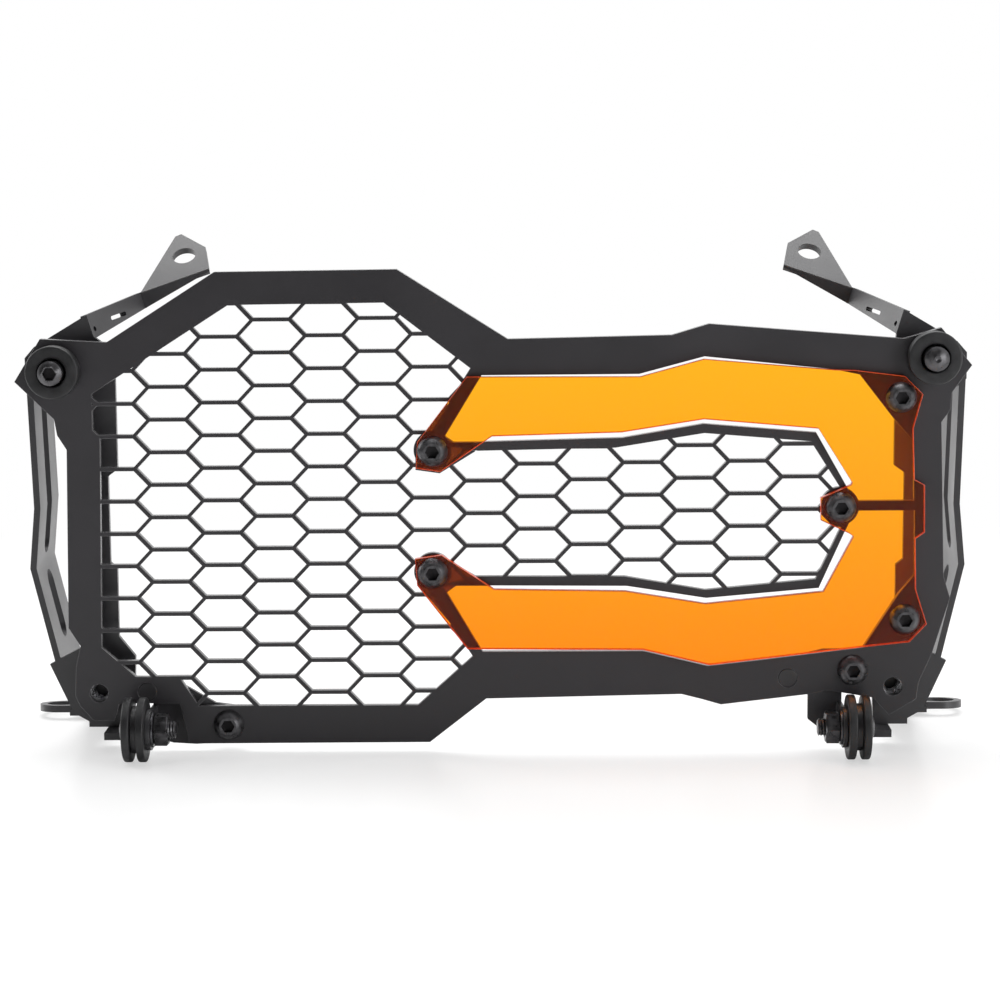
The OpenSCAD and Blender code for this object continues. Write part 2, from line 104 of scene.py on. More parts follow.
def object_noise(nodes, links, scale, detail=2.0, stretch=(1, 1, 1)):
    """A noise pattern on Object coordinates, stretched along an axis if asked."""
    place = nodes.new("ShaderNodeTexCoord")
    mapping = nodes.new("ShaderNodeMapping")
    mapping.inputs["Scale"].default_value = stretch
    noise = nodes.new("ShaderNodeTexNoise")
    noise.inputs["Scale"].default_value = scale
    noise.inputs["Detail"].default_value = detail
    links.new(place.outputs["Object"], mapping.inputs["Vector"])
    links.new(mapping.outputs["Vector"], noise.inputs["Vector"])
    return noise.outputs["Fac"]


def ramp(nodes, links, value, low, high, start=0.35, end=0.65):
    """Maps a pattern's middle part onto the range low to high."""
    node = nodes.new("ShaderNodeMapRange")
    for name, number in zip(("From Min", "From Max", "To Min", "To Max"), (start, end, low, high)):
        node.inputs[name].default_value = number
    links.new(value, node.inputs["Value"])
    return node.outputs["Result"]


def blend_colors(nodes, links, factor, one, two):
    """Goes from colour one to colour two as the factor goes from 0 to 1."""
    mix = nodes.new("ShaderNodeMix")
    mix.data_type = "RGBA"
    mix.inputs["A"].default_value = (*one, 1.0)
    mix.inputs["B"].default_value = (*two, 1.0)
    links.new(factor, mix.inputs["Factor"])
    return mix.outputs["Result"]


def add_bump(nodes, links, shader, heights, distance=0.0001, strength=0.5):
    """Adds up height patterns, given as (pattern, weight), and feeds the shader's normal."""
    total = None
    for pattern, weight in heights:
        scaled = nodes.new("ShaderNodeMath")
        scaled.operation = "MULTIPLY_ADD"
        scaled.inputs[1].default_value = weight
        scaled.inputs[2].default_value = 0.0
        links.new(pattern, scaled.inputs[0])
        if total is not None:
            links.new(total, scaled.inputs[2])
        total = scaled.outputs["Value"]
    bump = nodes.new("ShaderNodeBump")
    bump.inputs["Distance"].default_value = distance
    bump.inputs["Strength"].default_value = strength
    links.new(total, bump.inputs["Height"])
    links.new(bump.outputs["Normal"], shader.inputs["Normal"])


# %% [markdown]
# ## Satin powder coat
# Powder melts into a skin with a soft orange peel about a millimetre across
# and a much finer grain. Two noises make the bump, and a third one lets the
# gloss wander a little, as on a hand-sprayed sheet.

# %% Powder coat
def powder_coat(name, color, roughness):
    """A dull coat with orange peel, fine grain and slow patches of tone and gloss."""
    material, nodes, links, shader = new_finish(name, color, roughness)
    shader.inputs["Specular IOR Level"].default_value = 0.5
    peel = object_noise(nodes, links, 700)
    grain = object_noise(nodes, links, 4200, 3)
    cloud = object_noise(nodes, links, 30)
    light = tuple(min(1, c * 1.25 + 0.001) for c in color)
    tone = blend_colors(nodes, links, ramp(nodes, links, cloud, 0, 1), color, light)
    links.new(tone, shader.inputs["Base Color"])
    rough = ramp(nodes, links, cloud, roughness - 0.04, roughness + 0.05)
    links.new(rough, shader.inputs["Roughness"])
    add_bump(nodes, links, shader, [(peel, 0.5), (grain, 0.35)], 0.00006, 0.6)
    return material


grille_coat = powder_coat("grille_coat", (0.019, 0.0175, 0.0205), 0.42)
bracket_coat = powder_coat("bracket_coat", (0.034, 0.033, 0.036), 0.38)
rivet_coat = powder_coat("rivet_coat", (0.022, 0.021, 0.023), 0.45)


# %% [markdown]
# ## The cut wall of the sheet
# A laser leaves fine upright lines through the thickness of the sheet. Noise
# that is squeezed sideways and stretched through the sheet gives those lines,
# and the coat over them is a little glossier than on the faces. Its colour is
# also painted several times lighter than the faces' coat, as a painted
# highlight on the cut walls and rounded rims.

# %% Laser-cut wall
def painted_highlight_wall():
    """A glossier coat with upright lines along Y, painted lighter as a painted highlight."""
    # Painted highlight: this base colour is about five times lighter than the grille's coat.
    material, nodes, links, shader = new_finish("painted_highlight_wall", (0.10, 0.098, 0.102), 0.2)
    lines = object_noise(nodes, links, 1500, 2, (1, 0.04, 1))
    grain = object_noise(nodes, links, 3500)
    links.new(ramp(nodes, links, grain, 0.18, 0.30), shader.inputs["Roughness"])
    add_bump(nodes, links, shader, [(lines, 0.8), (grain, 0.2)], 0.00008, 0.6)
    return material


cut_wall_painted_highlight = painted_highlight_wall()


# %% [markdown]
# ## Black oxide steel, plain steel and rubber
# Oxide is a thin dark film on real metal, so its shader is metallic with a dark
# colour and shows sharp highlights, and the film is patchy. Rubber is dull,
# slightly browner where it was handled, and has a moulded grain.

# %% Metals and rubber
def oxide(name, color, roughness):
    """Metal under a patchy dark film, with fine drawn marks."""
    material, nodes, links, shader = new_finish(name, color, roughness, 0.85)
    patch = object_noise(nodes, links, 500, 4)
    marks = object_noise(nodes, links, 2600, 2, (1, 1, 0.2))
    light = tuple(min(1, c * 1.9) for c in color)
    links.new(blend_colors(nodes, links, ramp(nodes, links, patch, 0, 1), color, light),
              shader.inputs["Base Color"])
    links.new(ramp(nodes, links, patch, roughness - 0.07, roughness + 0.09),
              shader.inputs["Roughness"])
    add_bump(nodes, links, shader, [(marks, 0.6), (patch, 0.3)], 0.00003, 0.5)
    return material


def rubber(name, color, roughness):
    """Moulded rubber with grain and a little dust."""
    material, nodes, links, shader = new_finish(name, color, roughness)
    shader.inputs["Specular IOR Level"].default_value = 0.4
    dust = object_noise(nodes, links, 220, 5)
    grain = object_noise(nodes, links, 2400, 4)
    light = tuple(c * 1.8 + 0.004 for c in color)
    links.new(blend_colors(nodes, links, ramp(nodes, links, dust, 0, 1, 0.4, 0.7), color, light),
              shader.inputs["Base Color"])
    links.new(ramp(nodes, links, dust, roughness - 0.06, roughness + 0.08),
              shader.inputs["Roughness"])
    add_bump(nodes, links, shader, [(grain, 0.8), (dust, 0.5)], 0.00012, 0.6)
    return material


screw_steel = oxide("screw_steel", (0.058, 0.057, 0.060), 0.33)
# The near-black finish is painted shade in key sockets; inserts take it on their outside.
socket_shade_insert_black = oxide("socket_shade_insert_black", (0.014, 0.013, 0.014), 0.5)
insert_steel = oxide("insert_steel", (0.34, 0.34, 0.35), 0.26)
washer_steel = oxide("washer_steel", (0.07, 0.07, 0.075), 0.34)
grommet_rubber = rubber("grommet_rubber", (0.013, 0.013, 0.014), 0.50)
roller_rubber = rubber("roller_rubber", (0.016, 0.016, 0.017), 0.46)


# %% [markdown]
# ## Amber sheet
# The lens is a clear coloured plastic. Light passes through its faces, so the
# shader is fully transmissive and its base colour is the colour of white seen
# through it. That colour is painted light: deeper orange at the foot and lighter
# amber at the top. The faces also carry a faint painted glow. The sawn edge
# collects light from inside the plate and glows orange-red; here that glow is
# painted, as a second finish that is dense instead of clear and faintly emissive.

# %% Amber faces and edges
def amber_face():
    """Clear amber plastic, painted lighter towards the top as painted light, with a faint painted
    glow.
    """
    material, nodes, links, shader = new_finish("amber_lens", (1.0, 0.35, 0.008), 0.02)
    shader.inputs["Transmission Weight"].default_value = 0.985
    # Painted glow: a faint emission on the faces.
    shader.inputs["Emission Color"].default_value = (1.0, 0.10, 0.045, 1.0)
    shader.inputs["Emission Strength"].default_value = 0.035
    shader.inputs["Specular IOR Level"].default_value = 0.12
    shader.inputs["IOR"].default_value = 1.25
    place = nodes.new("ShaderNodeTexCoord")
    split = nodes.new("ShaderNodeSeparateXYZ")
    links.new(place.outputs["Object"], split.inputs["Vector"])
    # Painted light: the colour is deeper at the foot and lighter towards the top.
    height = ramp(nodes, links, split.outputs["Z"], 0, 1, 0.03, 0.135)
    links.new(blend_colors(nodes, links, height, (1.0, 0.268, 0.0), (1.0, 0.475, 0.010)),
              shader.inputs["Base Color"])
    waves = object_noise(nodes, links, 45, 1)
    links.new(ramp(nodes, links, waves, 0.01, 0.03), shader.inputs["Roughness"])
    return material


def amber_edge():
    """The plate's sawn rim, dense and orange-red, with a faint painted glow."""
    material, nodes, links, shader = new_finish("amber_edge", (0.85, 0.10, 0.018), 0.22)
    saw = object_noise(nodes, links, 900, 2, (1, 0.1, 1))
    links.new(blend_colors(nodes, links, ramp(nodes, links, saw, 0, 1),
                           (0.66, 0.055, 0.012), (0.80, 0.105, 0.018)),
              shader.inputs["Base Color"])
    # Painted glow: this emission stands in for light carried through the plate to its rim.
    shader.inputs["Emission Color"].default_value = (0.83, 0.08, 0.02, 1.0)
    shader.inputs["Emission Strength"].default_value = 0.08
    add_bump(nodes, links, shader, [(saw, 0.6)], 0.00006, 0.4)
    return material


amber_clear_painted_light, amber_edge_painted_glow = amber_face(), amber_edge()


# %% [markdown]
# ## From numbers to a piece
# Every new piece is arrays of points and faces. One helper writes them into a
# mesh, marks which strips are smooth, hangs the piece on the body that it rides
# on, hides the solid that it stands for, and gives each face its finish's slot.

# %% Make a piece from arrays
def add_piece(name, points, faces, finishes, body, node, index=None, smooth=None, sharp=40):
    """Points in mm become a mesh in metres; index gives each face its finish."""
    mesh = bpy.data.meshes.new(name)
    mesh.from_pydata((np.asarray(points) * MM).tolist(), [], [list(map(int, f)) for f in faces])
    for finish in finishes:
        mesh.materials.append(finish)
    if index is not None:
        mesh.polygons.foreach_set("material_index", np.asarray(index, dtype=np.int32))
    wanted = np.ones(len(faces), dtype=bool) if smooth is None else np.asarray(smooth, dtype=bool)
    mesh.polygons.foreach_set("use_smooth", wanted)
    mesh.update()
    mesh.set_sharp_from_angle(angle=math.radians(sharp))
    if smooth is not None:
        mesh.polygons.foreach_set("use_smooth", wanted)
    piece = bpy.data.objects.new(name, mesh)
    bpy.context.scene.collection.objects.link(piece)
    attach(piece, body)
    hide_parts(node)
    print(f"{name}: {len(points)} points, {len(faces)} faces")
    return piece


# %% [markdown]
# ## Cut sheets with rounded rims
# Powder coat and plastic never end in a razor edge: the rim of each cut is
# rounded by a few tenths, and that tiny round is what catches the light as a
# thin bright line. On the grille the rounds and cut walls also take a lighter
# coat, a painted highlight, and on the lens a painted glow. The flat outline
# comes from the solid itself. Its edge segments run round each hole with the
# material on their left, so a point moves into the material along the mean of
# its two left-hand normals.

# %% Read the front face of a flat solid
def front_face(node):
    """Welded corners (x, z) in mm, triangles and rim segments of the face at the lowest y."""
    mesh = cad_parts[node].data
    raw = np.empty(len(mesh.vertices) * 3)
    mesh.vertices.foreach_get("co", raw)
    mesh.calc_loop_triangles()
    corners = np.empty(len(mesh.loop_triangles) * 3, dtype=np.int64)
    mesh.loop_triangles.foreach_get("vertices", corners)
    keys, welded = np.unique(np.round(raw.reshape(-1, 3) / MM, 3), axis=0, return_inverse=True)
    triangles = welded.reshape(-1)[corners].reshape(-1, 3)
    low, high = keys[:, 1].min(), keys[:, 1].max()
    flat = triangles[(keys[triangles][:, :, 1] < low + 0.01).all(axis=1)]
    used, flat = np.unique(flat, return_inverse=True)
    flat = flat.reshape(-1, 3)
    directed = np.concatenate([flat[:, [0, 1]], flat[:, [1, 2]], flat[:, [2, 0]]])
    code = directed[:, 0] * len(used) + directed[:, 1]
    opposite = directed[:, 1] * len(used) + directed[:, 0]
    rim = directed[~np.isin(code, opposite)]
    return keys[used][:, [0, 2]], flat, rim, low, high


# %% Round its rims
def rounded_sheet(node, radius, steps=3):
    """A sheet whose rims are quarter circles.

    For the rim angle a from 0 to 90 degrees, the outline is moved into the material
    by radius times (1 - sin a), at a depth of radius times (1 - cos a); the same
    rings run back out at the rear face, and quads join one ring to the next. Returns
    (points, faces, rim), where rim is 1 for the faces of the cut and 0 for the flats.
    """
    outline, flat, rim, low, high = front_face(node)
    start, end = rim[:, 0], rim[:, 1]
    run = outline[end] - outline[start]
    run /= np.linalg.norm(run, axis=1)[:, None]
    left = np.stack([-run[:, 1], run[:, 0]], axis=1)
    out_normal, in_normal = np.zeros_like(outline), np.zeros_like(outline)
    out_normal[start], in_normal[end] = left, left
    both = out_normal + in_normal
    spread = 1 + (out_normal * in_normal).sum(axis=1)
    inward = both / np.maximum(spread, 0.35)[:, None]
    angles = np.linspace(0, math.pi / 2, steps + 1)
    insets = radius * (1 - np.sin(angles))
    depths = radius * (1 - np.cos(angles))
    insets = np.concatenate([insets, insets[::-1]])
    levels = np.concatenate([low + depths, high - depths[::-1]])
    flat_points = outline[None] + insets[:, None, None] * inward[None]
    points = np.empty((len(levels), len(outline), 3))
    points[:, :, 0], points[:, :, 2] = flat_points[:, :, 0], flat_points[:, :, 1]
    points[:, :, 1] = levels[:, None]
    size, rings = len(outline), len(levels)
    quads = [np.stack([start, start + size, end + size, end], axis=1) + size * k
             for k in range(rings - 1)]
    faces = [*flat, *np.concatenate(quads), *(flat[:, ::-1] + size * (rings - 1))]
    strips = (rings - 1) * len(rim)
    smooth = np.concatenate([np.zeros(len(flat)), np.ones(strips), np.zeros(len(flat))])
    return points.reshape(-1, 3), faces, smooth


# %% [markdown]
# ## Webs at the left pads
# The two left screw pads run out into solid webs, to the island on their right
# and to the frame beside the lens. Each web is a flat plate a hair thinner than
# the sheet, so that no two faces share a plane.

# %% Web plates
pad_webs = [
    [(-26.9, 106.3), (-26.9, 98), (-18.7, 96.8), (-6.6, 104.2), (-11.9, 106.1), (-18.7, 110.7),
     (-15.5, 121.4)],
    [(-27.5, 67.2), (-26.8, 58.8), (-15.4, 44.9), (-18.8, 54.3), (-12, 59.2), (-7.1, 61.3),
     (-19.2, 68.4)],
]


def web_plate(corners, base, skin=0.02):
    """Points and faces of a plate from corners (x, z), counter-clockwise; base counts on."""
    count = len(corners)
    levels = [front_y + skin, front_y + sheet_t - skin]
    points = [(x, y, z) for y in levels for x, z in corners]
    faces = [list(range(count)), list(range(2 * count - 1, count - 1, -1))]
    for i in range(count):
        j = (i + 1) % count
        faces.append([i, i + count, j + count, j])
    return points, [[base + k for k in face] for face in faces]


# %% The grille and the lens
points, faces, rim = rounded_sheet("front_grille", 0.13)
for corners in pad_webs:
    web_points, web_faces = web_plate(corners, len(points))
    points = np.concatenate([points, web_points])
    faces += web_faces
    rim = np.concatenate([rim, np.zeros(len(web_faces))])
# The rims and cut walls take the second, lighter finish: a painted highlight.
add_piece("grille_sheet", points, faces, [grille_coat, cut_wall_painted_highlight], GRILLE,
          "front_grille", rim, rim)
points, faces, rim = rounded_sheet("amber_lens", 0.15)
add_piece("lens_plate", points, faces, [amber_clear_painted_light, amber_edge_painted_glow], GRILLE,
          "amber_lens", rim, rim)


# %% [markdown]
# ## Bent sheet
# The brackets and leaves are folded, so their outline isn't in one plane. A
# welded copy of the solid with a narrow bevel gives them the same soft rims.

# %% Soft-edged copies of folded sheets
def softened(node, body, finish, width):
    """A welded copy of a CAD solid whose edges over 25 degrees are rounded by a bevel."""
    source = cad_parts[node].data
    raw = np.empty(len(source.vertices) * 3)
    source.vertices.foreach_get("co", raw)
    source.calc_loop_triangles()
    corners = np.empty(len(source.loop_triangles) * 3, dtype=np.int64)
    source.loop_triangles.foreach_get("vertices", corners)
    keys, welded = np.unique(np.round(raw.reshape(-1, 3) / MM, 3), axis=0, return_inverse=True)
    faces = welded.reshape(-1)[corners].reshape(-1, 3)
    ok = (faces[:, 0] != faces[:, 1]) & (faces[:, 1] != faces[:, 2]) & (faces[:, 0] != faces[:, 2])
    piece = add_piece(node + "_soft", keys, faces[ok], [finish], body, node, sharp=25)
    bevel = piece.modifiers.new("soft_rims", "BEVEL")
    bevel.width = width * MM
    bevel.segments = 2
    bevel.limit_method = "ANGLE"
    bevel.angle_limit = math.radians(25)
    return piece


for side in SIDES:
    softened("side_bracket_" + side, BRACKETS, bracket_coat, 0.3)
    softened("hinge_leaf_" + side, GRILLE, bracket_coat, 0.25)


# %% [markdown]
# ## Turned pieces with a hexagon or a thread
# Screws, nuts, studs, rollers and grommets are all a profile carried round an
# axis. Two extra columns in the profile make the rest: one turns a ring from a
# circle into a hexagon, and one lets the ring rise and fall as a screw thread.

# %% Carry a profile round an axis
def turned(profile, around=72, pitch=1.0, depth=0.36):
    """Rings of points (x, y, z) for rows of (radius, height, hexagon, thread).

    The radius at angle t is r times (1 - h + h / cos(t mod 60 - 30)), so h = 1 gives
    a hexagon whose flats are at r. The thread adds depth times a triangle wave of
    height / pitch - t / 360, times the thread column.
    """
    rows = np.array([tuple(row) + (0,) * (4 - len(row)) for row in profile], dtype=float)
    angle = np.linspace(0, 2 * math.pi, around, endpoint=False)
    r, z, h, thread = (rows[:, k][:, None] for k in range(4))
    corner = 1 / np.cos(np.mod(angle, math.pi / 3) - math.pi / 6)[None]
    wave = np.abs(2 * np.mod(z / pitch - angle[None] / (2 * math.pi), 1) - 1) - 0.5
    radius = r * (1 - h + h * corner) + thread * depth * wave
    return np.stack([radius * np.cos(angle), radius * np.sin(angle),
                     np.broadcast_to(z, radius.shape)], axis=2)


def ring_faces(rings, around, closed):
    """Quads between neighbouring rings, and from the last ring to the first if closed."""
    last = rings if closed else rings - 1
    k, i = np.meshgrid(np.arange(last), np.arange(around), indexing="ij")
    j, n = (i + 1) % around, (k + 1) % rings
    quads = np.stack([k * around + i, k * around + j, n * around + j, n * around + i], axis=2)
    return quads.reshape(-1, 4)


def facing_front(points, place, y):
    """Turns +Z to point forward, and moves the origin to a place in the front view."""
    return np.stack([points[..., 0] + place[0], y - points[..., 2], points[..., 1] + place[1]], -1)


def along_axis(points, side, x):
    """Turns +Z to point outward along the hinge axis from x on one side."""
    return np.stack([side * (points[..., 2] + x), side * points[..., 0] + hinge_y,
                     points[..., 1] + hinge_z], -1)


def turned_piece(name, copies, closed, finish, body, node, sharp=35, dark_rows=0):
    """One piece from equal ring arrays: closed ones are tubes, open ones get end caps.

    The first strips, as many as dark_rows says, take the near-black finish: in the
    socket of a keyed head it is painted shade, and it also covers the outside of an insert.
    """
    points, faces, inside, base = [], [], [], 0
    for rings in copies:
        count, around = rings.shape[:2]
        points.append(rings.reshape(-1, 3))
        quads = ring_faces(count, around, closed)
        faces += (quads + base).tolist()
        inside += [int(k < dark_rows * around) for k in range(len(quads))]
        if not closed:
            inside += [int(dark_rows > 0), 0]
            faces.append(list(range(base + around - 1, base - 1, -1)))
            faces.append(list(range(base + (count - 1) * around, base + count * around)))
        base += count * around
    piece = add_piece(name, np.concatenate(points), faces, [finish, socket_shade_insert_black], body, node,
                      index=inside, sharp=sharp)
    return outward(piece)


def outward(piece):
    """Makes every face of a closed shell point outward."""
    work = bmesh.new()
    work.from_mesh(piece.data)
    bmesh.ops.recalc_face_normals(work, faces=work.faces)
    work.to_mesh(piece.data)
    work.free()
    return piece


# %% [markdown]
# ## Button screws
# The head is a shallow dome with a hexagon socket and a soft rim, and the end
# that comes through the nut is threaded. The profile starts at the bottom of
# the socket, climbs its wall, crosses the dome and runs down the shank.

# %% Screw profile
axis_r = 0.05
shank_r = 3.0
thread_r = 2.82
tip_r = 2.2
thread_step = 0.125
head_r = 5.25


def screw_profile(length, thread_from, head_h=3.3, top_r=3.0, socket=2.0):
    """Rows from the socket's floor over the dome to the end of a threaded shank."""
    a = np.linspace(0.0, 1.0, 7)
    drop = (head_r ** 2 - top_r ** 2 - head_h ** 2) / (2 * head_h)
    ball = math.hypot(head_r, drop)
    lift = np.arccos((head_h + drop) / ball)
    sweep = np.arcsin(min(1.0, head_r / ball)) - 0.05
    tilt = lift + (sweep - lift) * a
    dome = [(ball * math.sin(t), ball * math.cos(t) - drop) for t in tilt]
    rows = [(axis_r, head_h - 2.1), (socket - 0.15, head_h - 2.0, 1), (socket, head_h - 1.9, 1),
            (socket, head_h - 0.1, 1), (socket + 0.08, head_h - 0.01, 1)]
    rows += [(top_r - 0.25, head_h), *dome, (head_r, 0.12), (head_r - 0.12, 0.0)]
    return rows + shank_rows(length, thread_from)


def shank_rows(length, thread_from):
    """Rows of a plain shank that becomes a thread and ends in a chamfer."""
    z = np.arange(-thread_from - thread_step, -length + 0.35, -thread_step)
    return [(shank_r, 0.0), (shank_r, -thread_from), *[(thread_r, level, 0, 1) for level in z],
            (2.55, -length + 0.2, 0, 0.3), (tip_r, -length), (axis_r, -length)]


def nut_profile(bore=3.05, flats=5.0, height=5.0):
    """Rows round a nut's section: the chamfer drops as the hexagon leaves its face circle."""
    face = flats * 0.97
    return [(bore, 0.5), (bore + 0.45, 0.0), (face - 0.3, 0.0), (face, 0.06), (flats, 0.45, 1),
            (flats, height - 0.45, 1), (face, height - 0.06), (face - 0.3, height),
            (bore + 0.45, height), (bore, height - 0.5)]


# %% Screws and nuts in their places
lens_rings = turned(screw_profile(lens_t + sheet_t + nut_t + thread_out, thread_from=9.5))
turned_piece("lens_screw_set", [facing_front(lens_rings, p, front_y - lens_t)
                                for p in lens_screw_places],
             False, screw_steel, GRILLE, "lens_screws", dark_rows=3)
leaf_rings = turned(screw_profile(sheet_t + leaf_t + nut_t + thread_out, thread_from=8.5))
turned_piece("leaf_screw_set", [facing_front(leaf_rings, p, front_y) for p in leaf_screw_places],
             False, screw_steel, GRILLE, "leaf_screws", dark_rows=3)
nut_rings = turned(nut_profile())
turned_piece("lens_nut_set", [facing_front(nut_rings, p, front_y + sheet_t + nut_t)
                              for p in lens_screw_places],
             True, screw_steel, GRILLE, "lens_nuts")
turned_piece("leaf_nut_set", [facing_front(nut_rings, p, front_y + sheet_t + leaf_t + nut_t)
                              for p in leaf_screw_places],
             True, screw_steel, GRILLE, "leaf_nuts")


# %% [markdown]
# ## Corner snaps
# A grommet is a thick rubber washer with soft rims and a bore that flares to
# the back, so that its stud can swing out. The left stud takes a hexagon key,
# and the right one is a dome with a small dimple.

# %% Grommets, studs and stud nuts
lip_t = 1.4
grommet_t = 6.0


def arc(cx, cz, radius, start, end, steps=5):
    """Points of an arc round (cx, cz), with its angles in degrees from the outward direction."""
    t = np.radians(np.linspace(start, end, steps))
    return list(zip(cx + radius * np.cos(t), cz + radius * np.sin(t)))


def grommet_profile(neck_r=6.05, bore_r=4.85, edge_r=8.3, soft=0.7):
    """Rows round the section: flared bore, front face, soft rims, neck and rear lip."""
    seat = lip_t + sheet_t
    front = seat + grommet_t
    return [(neck_r, 0.0), (bore_r, seat), (bore_r, front - 0.5),
            *arc(bore_r + 0.5, front - 0.5, 0.5, 180, 90, 4),
            *arc(edge_r, front - soft, soft, 90, 0, 5), *arc(edge_r, seat + soft, soft, 0, -90, 5),
            (neck_r, seat), (neck_r, lip_t),
            *arc(7.2, 1.0, 0.4, 90, 0, 3), *arc(7.2, 0.4, 0.4, 0, -90, 3)]


def stud_profile(keyed, top=20.8, ball_r=6.0, neck_r=4.15, collar_r=7.2):
    """Rows of a stud, with heights counted forward from the bracket's flat.

    They run from its recess over the dome, neck, collar and shank to its threaded end.
    """
    back = -(bracket_t + nut_t + thread_out)
    recess = ([(axis_r, top - 2.1), (1.9, top - 2.0, 1), (2.0, top - 1.9, 1),
               (2.0, top - 0.55, 1), (2.3, top - 0.4, 0.6)] if keyed
              else [(axis_r, top - 0.75), (0.5, top - 0.65), (0.85, top - 0.35), (1.2, top - 0.1)])
    dome = [(ball_r * math.sin(t), top - ball_r + ball_r * math.cos(t))
            for t in np.linspace(0.43, 0.76, 6)]
    z = np.arange(-6.5, back + 0.3, -thread_step)
    return [*recess, *dome, (neck_r, top - 1.9), (neck_r, 5.9), (collar_r - 0.2, 5.6),
            (collar_r, 5.4), (collar_r, 0.0), (shank_r, 0.0), (shank_r, -6.4),
            *[(thread_r, level, 0, 1) for level in z], (tip_r, back), (axis_r, back)]


for side in SIDES:
    place = snap_places[side]
    turned_piece("grommet_" + side, [facing_front(turned(grommet_profile(), 96), place,
                                                  front_y + sheet_t + lip_t)],
                 True, grommet_rubber, GRILLE, "corner_grommet_" + side, 60)
    turned_piece("stud_" + side, [facing_front(turned(stud_profile(side == "left")), place, flat_y)],
                 False, screw_steel, BRACKETS, "snap_stud_" + side,
                 dark_rows=3 if side == "left" else 0)
    turned_piece("stud_nut_" + side + "_soft", [facing_front(nut_rings, place,
                                                             flat_y + bracket_t + nut_t)],
                 True, screw_steel, BRACKETS, "stud_nut_" + side)


# %% [markdown]
# ## Rivets and threaded inserts
# The rivets end flush with the sheet and show as a dark disc in a fine ring.
# Each insert is a short tube, dark outside and bright in the bore. Its inner
# thread is the same triangle wave as on the screws, cut into the bore's wall.

# %% Rivets and inserts
grip = sheet_t + leaf_t
rivet_r = 3.2
rivet_head_r = 4.5
rivet_head_t = 1.4
rivet_rings = turned([
    (axis_r, grip - 0.05), (rivet_r - 0.5, grip - 0.05), (rivet_r - 0.25, grip),
    (rivet_r - 0.05, grip - 0.1), (rivet_r, grip - 0.25), (rivet_r, 0.0), (rivet_head_r, 0.0),
    (rivet_head_r, -1.1), (rivet_head_r - 0.3, -rivet_head_t), (axis_r, -rivet_head_t)])
turned_piece("rivet_pair", [facing_front(rivet_rings, p, front_y + sheet_t + leaf_t)
                            for p in rivet_places],
             False, rivet_coat, GRILLE, "leaf_rivets")
insert_len = 7.0
insert_r = 4.4
bore_r = 2.62
bore = [(bore_r, z, 0, 1) for z in np.arange(insert_len - 0.4, 0.4, -thread_step)]
insert_rows = [(insert_r, 0.2), (insert_r, insert_len - 0.2), (insert_r - 0.2, insert_len),
               (shank_r, insert_len), *bore, (shank_r, 0.0), (insert_r - 0.2, 0.0)]
insert_rings = turned(insert_rows)
for side in SIDES:
    turned_piece("insert_" + side, [facing_front(insert_rings, insert_places[side],
                                                 front_y + sheet_t + insert_len)],
                 True, insert_steel, GRILLE, "threaded_insert_" + side,
                 dark_rows=2)


# %% [markdown]
# ## Foot hinges
# Each roller is one rubber moulding with two rounded flanges and a groove that
# the bracket's foot runs in. A bolt passes through it, the leaf, a washer and a
# nut, and the end of the bolt stands out of the nut.

# %% Rollers, bolts, washers and nuts
roller_x = 122.5
roller_r = 11.0
core_r = 5.5
flange = 2.7
half_slot = 1.08
washer_t = 0.8
side_gap = 0.08
roller_in = roller_x - half_slot - flange
roller_out = roller_x + half_slot + flange
leaf_x = roller_in - side_gap - leaf_t
washer_x = leaf_x - washer_t
nut_x = washer_x - nut_t
width = roller_out - roller_in
round_r = 0.55
one = [*arc(roller_r - round_r, round_r, round_r, -90, 0, 6),
       *arc(roller_r - round_r, flange - round_r, round_r, 0, 90, 6), (core_r, flange)]
other = [(r, width - z) for r, z in one[::-1]]
roller_rings = turned([(3.08, 0.3), (3.5, 0.0), *one, *other, (3.5, width), (3.08, width - 0.3)], 96)
bolt_out = roller_out + side_gap
bolt_length = bolt_out - nut_x + thread_out + 1
low_head = [(axis_r, 1.5), (2.8, 1.5), (3.0, 1.46), (4.1, 0.8), (head_r - 0.15, 0.75),
            (head_r, 0.6), (head_r, 0.1), (head_r - 0.1, 0.0)]
bolt_rings = turned([*low_head, *shank_rows(bolt_length, thread_from=bolt_length - 4.0)])
hole_r = 3.2
washer_r = 6.0
washer_rings = turned([
    (hole_r, 0.1), (hole_r + 0.15, 0.0), (washer_r - 0.15, 0.0), (washer_r, 0.15),
    (washer_r, washer_t - 0.15), (washer_r - 0.15, washer_t), (hole_r + 0.15, washer_t),
    (hole_r, washer_t - 0.1)])
for side, sign in SIDES.items():
    turned_piece("roller_" + side, [along_axis(roller_rings, sign, roller_in)], True,
                 roller_rubber, BRACKETS, "hinge_roller_" + side, 50)
    turned_piece("bolt_" + side, [along_axis(bolt_rings, sign, bolt_out)], False,
                 screw_steel, GRILLE, "hinge_bolt_" + side)
    turned_piece("washer_" + side, [along_axis(washer_rings, sign, washer_x)], True,
                 washer_steel, GRILLE, "hinge_washer_" + side)
    turned_piece("hinge_nut_" + side + "_soft", [along_axis(nut_rings, sign, nut_x)], True,
                 screw_steel, GRILLE, "hinge_nut_" + side)


# %% [markdown]
# ## Floor, world and lamps
# The photograph was taken on a white sweep. The floor is nearly white and
# slightly glossy, so that it keeps a soft shadow and a faint reflection, and
# the camera sees the rest as plain white. The room is bright at the sides and
# above, and dimmer in front and a little on the left, which keeps the front
# faces dark.

